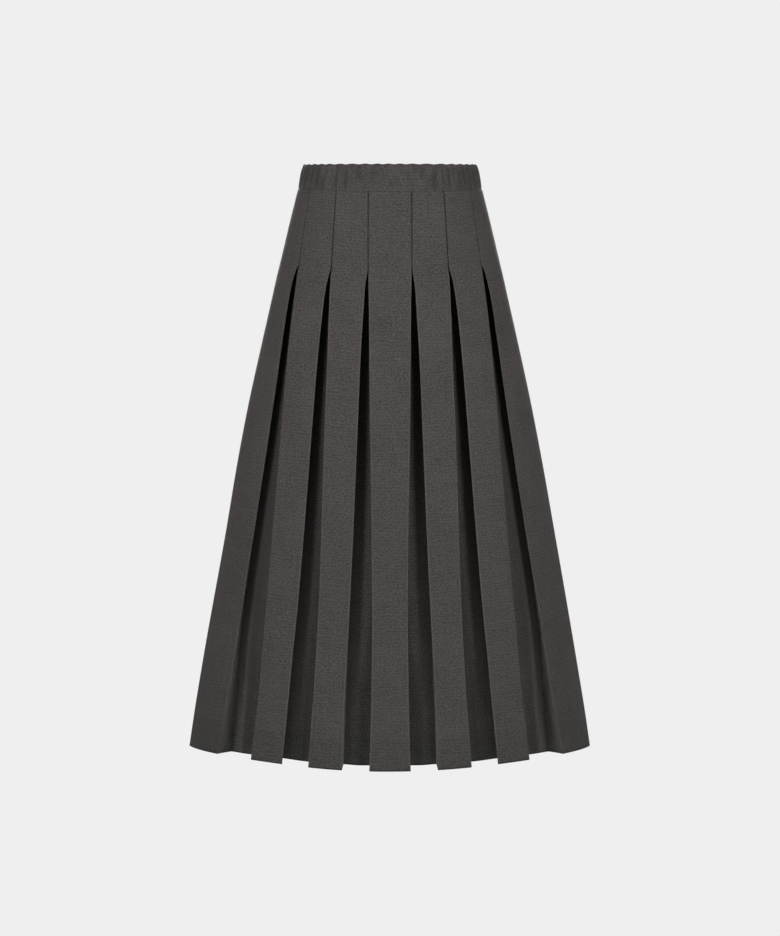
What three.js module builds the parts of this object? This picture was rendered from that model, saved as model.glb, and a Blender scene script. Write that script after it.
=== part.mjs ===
import * as THREE from "three";

// Pleated midi skirt, filled out as if worn. Millimetres, +Z up, the front faces -Y.
// The origin is the centre of the waistband, half way up its front.

// Cloth and seams
const CLOTH = 1.5; // wall of the panels
const LAYER_GAP = 0.8; // air between two folded layers
const SEAM_GAP = 0.3; // parting at the waist seam and at the side seams
const FOLD_RADIUS = (CLOTH + LAYER_GAP) / 2; // centre line of the cloth round a fold
const CLOSED_STACK = CLOTH / 2 + 4 * FOLD_RADIUS; // depth of a shut pleat's underlay
const MITRE_LIMIT = 1.1;

// Waistband: an elastic casing
const BAND_HEIGHT = 37;
const BAND_WALL = 3;
const GATHERS = 40;
const GATHER_STEPS = 4; // points round one gather
const GATHER_RIPPLE = 0.6;
const EDGE_RIPPLE = 0.5;
const INNER_RIPPLE = 0.2; // the elastic evens out the inner side
const BAND_DEPTH_RATIO = 0.72; // half depth over half width

// Panels
const SEAM_Z = -BAND_HEIGHT / 2; // waist seam at the centre front
const STITCH_LENGTH = 104; // pleats are sewn shut this far below the seam
const SKIRT_DROP = 762.7; // seam to hem at the centre front
const RETURN_AT_SEAM = 20; // cloth folded back behind each edge of a face
const RETURN_AT_TACK = 23;
const RETURN_AT_HEM = 38;
const HEM_OVERHANG = [4, 5.5, 11, 10]; // underlay past each side of its mouth, per channel

// One row per ring, by its drop below the seam: half width and half depth of the ring,
// then widths along the ring from the centre front to the side: half of the centre face,
// each open mouth and face in turn, and the whole mouth over the side seam.
const RING_COLUMNS = [
  "drop", "halfWidth", "halfDepth",
  "centreFace", "mouth1", "face2", "mouth2", "face3", "mouth3", "sideMouth",
];
const RINGS = [
  [0, 125.1, 90, 28.7, 0.6, 44.3, 0.6, 44.9, 0.6, 0.6],
  [50, 136.6, 95, 28.8, 0.6, 47.3, 0.6, 48.4, 0.6, 0.6],
  [STITCH_LENGTH, 148.6, 100, 28.8, 0.6, 50.3, 0.6, 52, 0.6, 0.6],
  [124, 153.7, 102.2, 28.7, 3.4, 49.6, 4.2, 49.9, 5.6, 3.6],
  [150, 159.8, 105, 28.2, 5.8, 48.8, 7.2, 48.9, 8.8, 7.4],
  [210, 174, 111, 27.6, 10.2, 46.8, 11.8, 48.4, 11.4, 13.6],
  [290, 192.3, 119, 26.9, 14.4, 46.1, 15.7, 47.8, 16.2, 21.6],
  [380, 210.4, 128, 25.6, 19.6, 45.3, 19.9, 47.1, 23.7, 30.6],
  [470, 226.9, 137, 24.2, 25.2, 43.8, 24.9, 46.9, 31.5, 39.4],
  [560, 243.9, 146, 23.8, 30.3, 42.4, 29.7, 46.3, 39.7, 48.2],
  [650, 261.3, 154, 24.7, 34.4, 42.4, 33.7, 45, 46.9, 56.8],
  [713, 273.3, 160, 25.4, 36.6, 43.2, 36.3, 45.8, 51, 63],
  [SKIRT_DROP, 281.6, 165, 26.1, 37.7, 43.8, 39.1, 46.6, 56.2, 68],
];

// How far a ring rises at the side, and half way round to it, above the centre front.
const LIFT_COLUMNS = ["drop", "side", "quarter"];
const LIFTS = [
  [0, 4, 0],
  [STITCH_LENGTH, 12, 0],
  [290, 10, 1.2],
  [SKIRT_DROP, 7, 4.2],
];

// Waistband section: height above the seam and half width of its outer side.
const BAND_SECTION = [
  { up: 0, halfWidth: 124.3, ripple: 0.4 },
  { up: 9, halfWidth: 123.6, ripple: 0.8 },
  { up: 30, halfWidth: 119.9, ripple: 1 },
  { up: BAND_HEIGHT, halfWidth: 117.2, ripple: 0.8 },
];

const FOLD_STEPS = 2; // straight stretches round one fold
const ARC_SAMPLES = 720;
const HALF_TURN = Math.PI;
const CHANNELS = 4; // on each side of the centre front, the last one over the side seam

const lerp = THREE.MathUtils.lerp;

function rowOf(columns, values) {
  return Object.fromEntries(columns.map((name, i) => [name, values[i]]));
}

function between(rows, drop, name) {
  const next = Math.max(1, rows.findIndex((row) => row.drop >= drop));
  const [low, high] = [rows[next - 1], rows[next]];
  return lerp(low[name], high[name], (drop - low.drop) / (high.drop - low.drop));
}

const rings = RINGS.map((values) => rowOf(RING_COLUMNS, values));
const lifts = LIFTS.map((values) => rowOf(LIFT_COLUMNS, values));

// Height that a ring gains at turn round from the centre front.
function liftAt(drop, turn) {
  const side = between(lifts, drop, "side") * Math.sin(turn) ** 2;
  return side + between(lifts, drop, "quarter") * Math.sin(2 * turn) ** 2;
}

// A quarter of an ellipse, walked by its arc length from the centre front.
class QuarterRing {
  constructor(halfWidth, halfDepth) {
    this.halfWidth = halfWidth;
    this.halfDepth = halfDepth;
    this.arcs = [0];
    for (let i = 1; i <= ARC_SAMPLES; i++) {
      const from = this.at(this.turnOf(i - 1));
      this.arcs.push(this.arcs[i - 1] + from.distanceTo(this.at(this.turnOf(i))));
    }
    this.length = this.arcs[ARC_SAMPLES];
  }

  turnOf(sample) {
    return (sample / ARC_SAMPLES) * (HALF_TURN / 2);
  }

  at(turn) {
    return new THREE.Vector2(this.halfWidth * Math.sin(turn), -this.halfDepth * Math.cos(turn));
  }

  normal(turn) {
    return new THREE.Vector2(Math.sin(turn) / this.halfWidth, -Math.cos(turn) / this.halfDepth).normalize();
  }

  // Turn at an arc length, negative to the left of the centre front.
  turnAt(along) {
    const distance = Math.min(Math.abs(along), this.length);
    const next = Math.max(1, this.arcs.findIndex((arc) => arc >= distance - 1e-9));
    const share = (distance - this.arcs[next - 1]) / (this.arcs[next] - this.arcs[next - 1]);
    return Math.sign(along) * this.turnOf(next - 1 + share);
  }
}

// Where the middle of each mouth lies along the ring, and how wide it is.
function mouthsOf(ring, length) {
  const mouths = [];
  let edge = ring.centreFace;
  for (const [mouth, face] of [["mouth1", "face2"], ["mouth2", "face3"], ["mouth3", null]]) {
    mouths.push({ middle: edge + ring[mouth] / 2, width: ring[mouth] });
    edge += ring[mouth] + (face ? ring[face] : 0);
  }
  mouths.push({ middle: length, width: ring.sideMouth });
  return mouths;
}

function returnWidth(drop) {
  if (drop <= STITCH_LENGTH) return lerp(RETURN_AT_SEAM, RETURN_AT_TACK, drop / STITCH_LENGTH);
  return lerp(RETURN_AT_TACK, RETURN_AT_HEM, (drop - STITCH_LENGTH) / (SKIRT_DROP - STITCH_LENGTH));
}

// Half of a pleat's section from the face's fold to the underlay, as offsets from the
// middle of the mouth: along is the distance to the side, depth is the distance inwards.
function halfChannel(drop, channel, mouthWidth) {
  const opened = Math.max(0, (drop - STITCH_LENGTH) / (SKIRT_DROP - STITCH_LENGTH));
  const back = returnWidth(drop);
  const overhang = lerp(back, HEM_OVERHANG[channel], Math.sqrt(opened));
  const depth = Math.hypot(CLOSED_STACK, Math.sqrt(back ** 2 - overhang ** 2));
  const faceFold = new THREE.Vector2(mouthWidth / 2 + CLOTH / 2 + FOLD_RADIUS, CLOTH / 2 + FOLD_RADIUS);
  const innerFold = new THREE.Vector2(mouthWidth / 2 + overhang - FOLD_RADIUS, depth - FOLD_RADIUS);
  const across = innerFold.clone().sub(faceFold);
  const leave = across.angle() + Math.acos((2 * FOLD_RADIUS) / across.length());
  const top = -HALF_TURN / 2;
  return [
    ...arc(faceFold, top, leave - 2 * HALF_TURN),
    ...arc(innerFold, leave - HALF_TURN, HALF_TURN / 2),
  ];
}

function arc(centre, from, to) {
  return Array.from({ length: FOLD_STEPS + 1 }, (_, i) => {
    const angle = lerp(from, to, i / FOLD_STEPS);
    return new THREE.Vector2(Math.cos(angle), Math.sin(angle)).multiplyScalar(FOLD_RADIUS).add(centre);
  });
}

// The cloth's centre line from the centre front to the side seam. A face has a corner at each
// third of its width, so half of the centre face has one.
function halfPath(ring, length) {
  const path = [];
  let faceStart = 0;
  mouthsOf(ring, length).forEach(({ middle, width }, channel) => {
    const folds = halfChannel(ring.drop, channel, width);
    const faceEnd = middle - folds[0].x;
    for (const share of channel === 0 ? [1 / 3] : [1 / 3, 2 / 3]) {
      path.push(new THREE.Vector2(lerp(faceStart, faceEnd, share), CLOTH / 2));
    }
    path.push(...folds.map((point) => new THREE.Vector2(middle - point.x, point.y)));
    path.push(new THREE.Vector2(middle, folds[folds.length - 1].y));
    if (channel < CHANNELS - 1) {
      path.push(...folds.map((point) => new THREE.Vector2(middle + point.x, point.y)).reverse());
    }
    faceStart = middle + folds[0].x;
  });
  return path;
}

// Both sides of the cloth at one ring, from the left side seam to the right one.
function clothRing(ring) {
  const quarter = new QuarterRing(ring.halfWidth, ring.halfDepth);
  const right = halfPath(ring, quarter.length);
  const left = right.map((point) => new THREE.Vector2(-point.x, point.y)).reverse();
  const line = [...left, ...right].map((point) => {
    const turn = quarter.turnAt(point.x);
    const normal = quarter.normal(turn);
    return { turn, normal, place: quarter.at(turn).addScaledVector(normal, -point.y) };
  });
  const sides = { outer: [], inner: [] };
  line.forEach(({ turn, normal, place }, i) => {
    const isEnd = i === 0 || i === line.length - 1;
    if (isEnd) place.y = -SEAM_GAP / 2;
    const away = isEnd ? normal : mitre(line[i - 1].place, place, line[i + 1].place);
    const z = SEAM_Z - SEAM_GAP - ring.drop + liftAt(ring.drop, turn);
    for (const [side, reach] of [["outer", CLOTH / 2], ["inner", -CLOTH / 2]]) {
      const point = place.clone().addScaledVector(away, reach);
      sides[side].push(new THREE.Vector3(point.x, point.y, z));
    }
  });
  return sides;
}

// Outward direction at a corner of the line, lengthened to keep the wall's thickness.
function mitre(before, corner, after) {
  const inTo = corner.clone().sub(before).normalize();
  const outOf = after.clone().sub(corner).normalize();
  const along = inTo.add(outOf).normalize();
  const away = new THREE.Vector2(along.y, -along.x);
  const shrink = Math.abs(along.dot(outOf));
  return away.multiplyScalar(Math.min(1 / shrink, MITRE_LIMIT));
}

// A closed skin over a grid of rows that wraps round along one or both of its ways.
function skin(rows, wrapColumns) {
  const width = rows[0].length;
  const faces = [];
  for (let i = 0; i < rows.length; i++) {
    for (let j = 0; j < (wrapColumns ? width : width - 1); j++) {
      const [row, nextRow] = [i * width, ((i + 1) % rows.length) * width];
      const [a, b] = [row + j, row + ((j + 1) % width)];
      const [c, d] = [nextRow + j, nextRow + ((j + 1) % width)];
      faces.push(a, c, b, b, c, d);
    }
  }
  if (!wrapColumns) {
    const last = rows.length / 2 - 1;
    for (let i = 0; i < last; i++) {
      for (const [j, turned] of [[0, false], [width - 1, true]]) {
        const outer = [i * width + j, (i + 1) * width + j];
        const inner = [(rows.length - 1 - i) * width + j, (rows.length - 2 - i) * width + j];
        if (turned) faces.push(outer[0], outer[1], inner[1], outer[0], inner[1], inner[0]);
        else faces.push(outer[0], inner[1], outer[1], outer[0], inner[0], inner[1]);
      }
    }
  }
  const geometry = new THREE.BufferGeometry();
  const places = rows.flat().flatMap((point) => point.toArray());
  geometry.setAttribute("position", new THREE.Float32BufferAttribute(places, 3));
  geometry.setIndex(faces);
  geometry.computeVertexNormals();
  return geometry;
}

// Half of the skirt's cloth, from the waist seam to the hem: seven faces, the pleats
// between them and half of the pleat over each side seam.
function panel() {
  const cloth = rings.map(clothRing);
  const down = cloth.map((ring) => ring.outer);
  const up = cloth.map((ring) => ring.inner).reverse();
  return skin([...down, ...up], false);
}

// The gathers are uneven, so their turn round the band runs ahead and falls behind.
function gatherWave(turn) {
  return Math.cos(GATHERS * turn + 1.4 * Math.sin(3 * turn + 0.6) + 0.8 * Math.sin(7 * turn));
}

function bandRing({ up, halfWidth, ripple }, reach) {
  const count = GATHERS * GATHER_STEPS;
  return Array.from({ length: count }, (_, i) => {
    const turn = (i / count) * 2 * HALF_TURN;
    const wave = gatherWave(turn);
    const out = reach + wave * ripple * GATHER_RIPPLE;
    const share = up / BAND_HEIGHT;
    const z = SEAM_Z + up + liftAt(0, turn) * (1 - share) + wave * EDGE_RIPPLE * share ** 4;
    const x = (halfWidth + out) * Math.sin(turn);
    return new THREE.Vector3(x, -(halfWidth * BAND_DEPTH_RATIO + out) * Math.cos(turn), z);
  });
}

// The casing: outer side from the seam up, then the inner side back down.
function waistband() {
  const outer = BAND_SECTION.map((row) => bandRing(row, 0)).reverse();
  const inner = BAND_SECTION.map((row) => bandRing({ ...row, ripple: INNER_RIPPLE }, -BAND_WALL));
  return skin([...outer, ...inner], true);
}

function piece(name, geometry, colour) {
  const material = new THREE.MeshStandardMaterial({ color: colour, roughness: 0.9, metalness: 0 });
  const mesh = new THREE.Mesh(geometry, material);
  mesh.name = name;
  return mesh;
}

const SUITING = 0x4b4746;
const skirt = new THREE.Group();
skirt.name = "pleated_midi_skirt";
const front = piece("front_panel", panel(), SUITING);
const back = piece("back_panel", panel(), SUITING);
back.rotation.z = HALF_TURN;
skirt.add(piece("waistband", waistband(), SUITING), front, back);

export default skirt;
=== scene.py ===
"""A pleated midi skirt in dark grey suiting, filled out as if worn.

The front and the back are each one width of cloth, laid in box pleats that are sewn shut
from the waist seam to hip height and hang open below. A gathered elastic casing holds them.
Sizes are in millimetres in the tables and in metres on the meshes.
"""

import logging
import math
from collections.abc import Sequence
from dataclasses import dataclass, field
from enum import Enum

import bpy
import numpy as np
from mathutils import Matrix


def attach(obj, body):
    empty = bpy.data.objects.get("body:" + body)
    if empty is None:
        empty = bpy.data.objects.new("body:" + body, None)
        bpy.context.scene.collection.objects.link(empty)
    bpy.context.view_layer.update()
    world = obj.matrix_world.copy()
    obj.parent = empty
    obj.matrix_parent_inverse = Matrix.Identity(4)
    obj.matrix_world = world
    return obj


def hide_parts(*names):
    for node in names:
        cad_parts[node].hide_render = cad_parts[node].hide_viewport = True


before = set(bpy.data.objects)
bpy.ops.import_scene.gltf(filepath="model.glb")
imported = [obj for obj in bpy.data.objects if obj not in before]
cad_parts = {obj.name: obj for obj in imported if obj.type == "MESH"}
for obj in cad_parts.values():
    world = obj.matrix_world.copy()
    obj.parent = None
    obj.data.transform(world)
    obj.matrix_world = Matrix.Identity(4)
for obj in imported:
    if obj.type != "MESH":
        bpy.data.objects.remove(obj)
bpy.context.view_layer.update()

LOG = logging.getLogger("skirt")
MM = 0.001
QUARTER_TURN = math.pi / 2
Face = tuple[int, ...]
Places = list[tuple[float, float]]
Colour = tuple[float, float, float, float]
Socket = bpy.types.NodeSocket
Value = bpy.types.NodeSocket | float | tuple[float, ...]


class Side(Enum):
    """Which half of the skirt a panel is, by the half turn that places it."""

    FRONT = 0
    BACK = 1


@dataclass(frozen=True)
class Crease:
    """A soft trough (depth over 0) or ridge (under 0) in the cloth, sizes in mm.

    along and drop place its middle: along the ring from the centre, and below the waist seam.
    """

    along: float
    drop: float
    width: float
    length: float
    depth: float
    lean: float = 0.0

    def dent(self, along: np.ndarray, drop: float) -> np.ndarray:
        """Depth of the dent at places along the ring.

        Args:
            along: places along the ring in mm from the centre.
            drop: how far below the waist seam they lie.

        Returns:
            How far the cloth moves inwards at each place, in mm.
        """
        down = (drop - self.drop) / self.length
        across = (along - self.along - self.lean * (drop - self.drop)) / self.width
        return self.depth * np.exp(-(across**2) - down**2)


def smooth_curve(xs: np.ndarray, ys: np.ndarray, at: np.ndarray) -> np.ndarray:
    """Reads a table along a smooth curve that never overshoots its rows.

    Args:
        xs: rising positions of the rows.
        ys: value of each row.
        at: positions to read.

    Returns:
        The values at those positions.
    """
    step, rise = np.diff(xs), np.diff(ys)
    slope = rise / step
    tangent = np.concatenate([[slope[0]], (slope[1:] + slope[:-1]) / 2, [slope[-1]]])
    turns = np.concatenate([[False], slope[1:] * slope[:-1] <= 0, [False]])
    tangent[turns] = 0
    for i, grade in enumerate(slope):
        limit = 3 * abs(grade)
        tangent[i] = np.clip(tangent[i], -limit, limit)
        tangent[i + 1] = np.clip(tangent[i + 1], -limit, limit)
    row = np.clip(np.searchsorted(xs, at, side="right") - 1, 0, len(step) - 1)
    share = (at - xs[row]) / step[row]
    square, cube = share**2, share**3
    return (
        (2 * cube - 3 * square + 1) * ys[row]
        + (cube - 2 * square + share) * step[row] * tangent[row]
        + (3 * square - 2 * cube) * ys[row + 1]
        + (cube - square) * step[row] * tangent[row + 1]
    )


@dataclass(frozen=True)
class SkirtCut:
    """Form of the skirt's body: its rings, its pleats and how they open towards the hem.

    Each row of the table is one height, in mm. overhang_at, lean_at and bow_at run from the
    tacks, 0, to the hem, 1, and overhang has a list for each pleat, from the centre outwards.
    """

    stitch_length: float = 104.0
    skirt_drop: float = 762.7
    seam_z: float = -18.5
    seam_gap: float = 0.3
    return_at_seam: float = 20.0
    return_at_tack: float = 23.0
    return_at_hem: float = 38.0
    overhang_at: tuple[float, ...] = (0.0, 0.03, 0.1, 0.3, 0.55, 0.8, 1.0)
    overhang: tuple[tuple[float, ...], ...] = (
        (22.7, 19.0, 15.5, 11.0, 8.0, 5.0, 4.0),
        (22.7, 19.0, 16.5, 14.5, 13.5, 14.0, 14.5),
        (22.7, 20.5, 19.5, 20.8, 23.5, 21.0, 11.0),
        (22.7, 19.0, 15.5, 13.0, 11.5, 10.5, 10.0),
    )
    columns: tuple[str, ...] = (
        "drop", "half_width", "half_depth",
        "centre_face", "mouth_1", "face_2", "mouth_2", "face_3", "mouth_3", "side_mouth",
    )
    rows: tuple[tuple[float, ...], ...] = (
        (0, 125.1, 90, 28.7, 0.6, 44.3, 0.6, 44.9, 0.6, 0.6),
        (50, 136.6, 95, 28.8, 0.6, 47.3, 0.6, 48.4, 0.6, 0.6),
        (104, 148.6, 100, 28.8, 0.6, 50.3, 0.6, 52, 0.6, 0.6),
        (112, 150.6, 100.9, 28.8, 2.2, 49.8, 2.5, 50.9, 3.3, 1.8),
        (124, 153.7, 102.2, 28.7, 4.2, 48.8, 5, 49.1, 6.4, 3.8),
        (150, 159.8, 105, 28.2, 6.6, 48, 8, 48.1, 9.6, 7.4),
        (210, 174, 111, 27.6, 11.1, 45.9, 12.7, 47.5, 12.3, 13.6),
        (290, 192.3, 119, 26.9, 15.3, 45.2, 16.6, 46.9, 17.4, 21.6),
        (380, 210.4, 128, 25.6, 20.2, 44.7, 20.5, 46.5, 25.2, 30.6),
        (470, 226.9, 137, 24.2, 25.5, 43.5, 25.2, 46.6, 32.7, 39.4),
        (560, 243.9, 146, 23.8, 30.3, 42.4, 29.7, 46.3, 40.5, 48.2),
        (650, 261.3, 154, 24.7, 34.4, 42.4, 33.7, 45, 46.9, 56.8),
        (713, 273.3, 160, 26, 36, 44.2, 35.3, 45.8, 51, 63),
        (762.7, 281.6, 165, 27.6, 36.2, 46, 36.9, 46.6, 56.2, 68),
    )
    lean_at: tuple[float, ...] = (0.0, 0.08, 0.3, 0.5, 0.7, 0.85, 1.0)
    lean_near: tuple[float, ...] = (1.0, 0.6, 0.44, 0.58, 0.85, 1.0, 1.0)
    lean_eased: tuple[float, ...] = (0.0, 0.15, 0.35, 1.0)
    sag_share: float = 0.19
    bow_at: tuple[float, ...] = (0.0, 0.4, 0.75, 1.0)
    bow_share: tuple[float, ...] = (0.0, 0.05, 0.24, 0.06)
    groove: float = 0.2
    lift_drops: tuple[float, ...] = (0, 104, 290, 762.7)
    lift_side: tuple[float, ...] = (4, 12, 10, 7)
    lift_quarter: tuple[float, ...] = (0, 0, 1.2, 4.2)

    def read(self, name: str, drop: float) -> float:
        """Value of one column at a drop, read smoothly above and below the pleats' tacks.

        Args:
            name: the column.
            drop: distance below the waist seam in mm.

        Returns:
            The value there, in mm.
        """
        table = np.array(self.rows)
        drops, values = table[:, 0], table[:, self.columns.index(name)]
        if name.startswith(("mouth", "side", "face", "centre")):
            closed = drop < self.stitch_length
            keep = drops <= self.stitch_length if closed else drops >= self.stitch_length
            drops, values = drops[keep], values[keep]
        return float(smooth_curve(drops, values, np.array([drop]))[0])

    def lift(self, drop: float, turn: np.ndarray) -> np.ndarray:
        """Height that a ring gains round from the centre front.

        Args:
            drop: distance below the waist seam in mm.
            turn: angles round from the centre front.

        Returns:
            The gain at each angle, in mm.
        """
        side = np.interp(drop, self.lift_drops, self.lift_side)
        quarter = np.interp(drop, self.lift_drops, self.lift_quarter)
        return side * np.sin(turn) ** 2 + quarter * np.sin(2 * turn) ** 2

    def opened(self, drop: float) -> float:
        """Share of the way from the tacks, 0, to the hem, 1."""
        return max(0.0, (drop - self.stitch_length) / (self.skirt_drop - self.stitch_length))

    def lean(self, drop: float, number: int) -> tuple[float, float]:
        """Share of their depth that a pleat's near and far inner folds keep at a height.

        Args:
            drop: distance below the waist seam in mm.
            number: the pleat, counted from the centre.

        Returns:
            The near fold's share and the far fold's.
        """
        near = float(np.interp(self.opened(drop), self.lean_at, self.lean_near))
        return near + (1 - near) * self.lean_eased[number], 1.0

    def sag(self, drop: float, depth: np.ndarray, turn: np.ndarray) -> np.ndarray:
        """How much lower the cloth deep in a pleat hangs, since it flares less."""
        return self.sag_share * self.opened(drop) * depth * np.sin(turn) ** 4

    def overhang_of(self, number: int, drop: float) -> float:
        """How far a pleat's inner folds reach in behind the faces beside it.

        Args:
            number: the pleat, counted from the centre.
            drop: distance below the waist seam in mm.

        Returns:
            The reach in mm, as wide as the whole return while the pleat is sewn shut.
        """
        if drop <= self.stitch_length:
            return self.return_width(drop)
        table = np.array(self.overhang_at), np.array(self.overhang[number])
        return float(smooth_curve(*table, np.array([self.opened(drop)]))[0])

    def return_width(self, drop: float) -> float:
        """Cloth folded back behind each edge of a face.

        Args:
            drop: distance below the waist seam in mm.

        Returns:
            Its width in mm.
        """
        if drop <= self.stitch_length:
            share = drop / self.stitch_length
            return self.return_at_seam + share * (self.return_at_tack - self.return_at_seam)
        return self.return_at_tack + self.opened(drop) * (self.return_at_hem - self.return_at_tack)


@dataclass(frozen=True)
class Channel:
    """One pleat at one height, in mm: its mouth, and where its two inner folds lie.

    Each inner fold is (how far it reaches past the mouth's edge, how deep it lies): near
    the one towards the centre of the panel, far the one towards its side.
    """

    middle: float
    mouth: float
    near: tuple[float, float]
    far: tuple[float, float]


@dataclass(frozen=True)
class ClothLine:
    """The cloth's centre line at one height: points as (along, depth) in mm, with their marks.

    face and pleat are numbers counted from the panel's centre, the face's under 0 to the
    left. round_fold is a point's place round a pressed edge, from 1 at the face, or 0 away
    from the edges. across is its share of the way over its pleat's underlay, or -1 off it.
    """

    points: np.ndarray
    face: np.ndarray
    pleat: np.ndarray
    round_fold: np.ndarray
    across: np.ndarray

    def mirrored(self) -> "ClothLine":
        """Completes a right half of the line.

        Returns:
            The whole line, from the left side seam to the right one.
        """
        signs = ([-1, 1], -1, 1, 1, 1)
        marks = (self.points, self.face, self.pleat, self.round_fold, self.across)
        return ClothLine(*(np.concatenate([m[:0:-1] * sign, m]) for m, sign in zip(marks, signs)))


@dataclass
class LineDraft:
    """A cloth line that grows point by point: along, depth and the marks of each."""

    rows: list[tuple[float, ...]] = field(default_factory=list)

    def add(
        self, face: int, pleat: int, places: Places, marks: list[int] | None = None, over: float = -1.0
    ) -> None:
        """Adds points that belong to one face, beside one pleat.

        Args:
            face: the face's number.
            pleat: the pleat's number.
            places: (along, depth) of each point in mm.
            marks: place of each point round a pressed edge, if they lie on one.
            over: their share of the way over the underlay, if they lie on it.
        """
        folds = marks or [0] * len(places)
        self.rows += [(*place, face, pleat, fold, over) for place, fold in zip(places, folds)]

    def finished(self) -> ClothLine:
        """Closes the draft.

        Returns:
            The line of all its points.
        """
        along, depth, face, pleat, round_fold, across = np.array(self.rows).T
        numbers = (mark.astype(int) for mark in (face, pleat, round_fold))
        return ClothLine(np.stack([along, depth], axis=1), *numbers, across)


@dataclass
class RingSection:
    """The cloth's centre line round half the skirt at one height."""

    cut: SkirtCut
    drop: float
    cloth: float
    fold_radius: float
    face_steps: int = 10
    fold_steps: int = 5
    return_steps: int = 4
    underlay_steps: int = 8
    fold_margin: float = 1.2
    groove_fade: float = 60.0
    samples: int = 900

    def __post_init__(self) -> None:
        """Walks a quarter of the ring, so that places on it can be read by arc length."""
        self.half_width = self.cut.read("half_width", self.drop)
        self.half_depth = self.cut.read("half_depth", self.drop)
        self.turns = np.linspace(0, QUARTER_TURN, self.samples)
        x, y = self.half_width * np.sin(self.turns), self.half_depth * np.cos(self.turns)
        self.arcs = np.concatenate([[0], np.cumsum(np.hypot(np.diff(x), np.diff(y)))])

    def channels(self) -> list[Channel]:
        """Lays out the pleats at this height.

        Returns:
            The pleats from the centre to the side, the last one over the side seam.
        """
        read = self.cut.read
        back = self.cut.return_width(self.drop)
        edge, found = read("centre_face", self.drop), []
        names = [("mouth_1", "face_2"), ("mouth_2", "face_3"), ("mouth_3", None), ("side_mouth", None)]
        closed = self.cloth / 2 + 4 * self.fold_radius
        groove = self.cut.groove * max(0.0, 1 - self.cut.opened(self.drop) * self.groove_fade)
        for number, (mouth_name, face_name) in enumerate(names):
            room = read(mouth_name, self.drop)
            mouth = room - groove
            depth = math.sqrt(max(0.0, back**2 - self.cut.overhang_of(number, self.drop) ** 2))
            ends = []
            for kept in self.cut.lean(self.drop, number):
                reach = math.sqrt(back**2 - (depth * kept) ** 2)
                ends.append((reach, math.hypot(closed, depth * kept)))
            middle = self.arcs[-1] if mouth_name == "side_mouth" else edge + room / 2
            found.append(Channel(middle, mouth, *ends))
            edge += room + (read(face_name, self.drop) if face_name else 0)
        return found

    def folds(self, mouth: float, end: tuple[float, float]) -> Places:
        """Half of a pleat, from the face's fold to the underlay's inner fold.

        Args:
            mouth: width of the pleat's mouth in mm.
            end: reach and depth of the inner fold in mm.

        Returns:
            (distance from the mouth's middle, depth) of each point, in mm.
        """
        radius = self.fold_radius
        face = np.array([mouth / 2 + self.cloth / 2 + radius, self.cloth / 2 + radius])
        inner = np.array([mouth / 2 + end[0] - radius, end[1] - radius])
        across = inner - face
        leave = math.atan2(across[1], across[0]) + math.acos(2 * radius / math.hypot(*across))
        first = self.fold_arc(face, -QUARTER_TURN, leave - 2 * math.pi)
        last = self.fold_arc(inner, leave - math.pi, QUARTER_TURN)
        shares = np.arange(1, self.return_steps) / self.return_steps
        wall = [tuple(np.array(first[-1]) * (1 - s) + np.array(last[0]) * s) for s in shares]
        return [*first, *wall, *last]

    def fold_arc(self, centre: np.ndarray, start: float, end: float) -> Places:
        """Lays points round a fold.

        Args:
            centre: (distance from the mouth's middle, depth) of the fold's centre in mm.
            start: angle of the first point.
            end: angle of the last point.

        Returns:
            (distance from the mouth's middle, depth) of each point, in mm.
        """
        angles = np.linspace(start, end, self.fold_steps + 1)
        radius = self.fold_radius
        return [(centre[0] + radius * math.cos(a), centre[1] + radius * math.sin(a)) for a in angles]

    def half_line(self) -> ClothLine:
        """Lays the cloth through faces, folds, returns and underlays in turn.

        Returns:
            The cloth's line from the centre to the side seam.
        """
        draft = LineDraft()
        arc = list(range(1, self.fold_steps + 2))
        start, last_number = 0.0, len(self.cut.overhang) - 1
        for number, channel in enumerate(self.channels()):
            near = self.folds(channel.mouth, channel.near)
            far = self.folds(channel.mouth, channel.far)
            end = channel.middle - near[0][0]
            shares = self.face_shares(end - start, number == 0)
            draft.add(number, number, [(start + (end - start) * share, self.cloth / 2) for share in shares])
            left = [(channel.middle - a, d) for a, d in near]
            draft.add(number, number, left[: len(arc)], arc)
            draft.add(number, number, left[len(arc) :])
            if number == last_number:
                draft.add(number, number, self.side_underlay(channel.middle, *near[-1]))
                break
            right = [(channel.middle + a, d) for a, d in reversed(far)]
            for share in np.arange(1, self.underlay_steps) / self.underlay_steps:
                along = left[-1][0] + (right[0][0] - left[-1][0]) * share
                depth = left[-1][1] + (right[0][1] - left[-1][1]) * share - self.bow(channel, share)
                draft.add(number + int(share > 0.5), number, [(along, depth)], over=share)
            draft.add(number + 1, number, right[: -len(arc)])
            draft.add(number + 1, number, right[-len(arc) :], arc[::-1])
            start = right[-1][0]
        return draft.finished()

    def side_underlay(self, middle: float, gap: float, depth: float) -> Places:
        """Lays the side pleat's underlay as far as the side seam.

        Args:
            middle: place of the side seam along the ring in mm.
            gap: distance from the inner fold to the seam in mm.
            depth: depth of the underlay in mm.

        Returns:
            (along, depth) of each point after the fold, in mm.
        """
        half = self.underlay_steps // 2
        return [(middle - gap * (1 - i / half), depth) for i in range(1, half + 1)]

    def face_shares(self, width: float, from_middle: bool) -> list[float]:
        """Spaces a face's points, with one close to each pressed edge.

        Args:
            width: the face's width in mm, or half of it from the middle on.
            from_middle: whether it starts in the middle of the face.

        Returns:
            Where each point lies across it, as shares of the width.
        """
        steps = self.face_steps // 2 if from_middle else self.face_steps
        margin = self.fold_margin / width
        return [0.0 if from_middle else margin, *(i / steps for i in range(1, steps)), 1 - margin]

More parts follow.
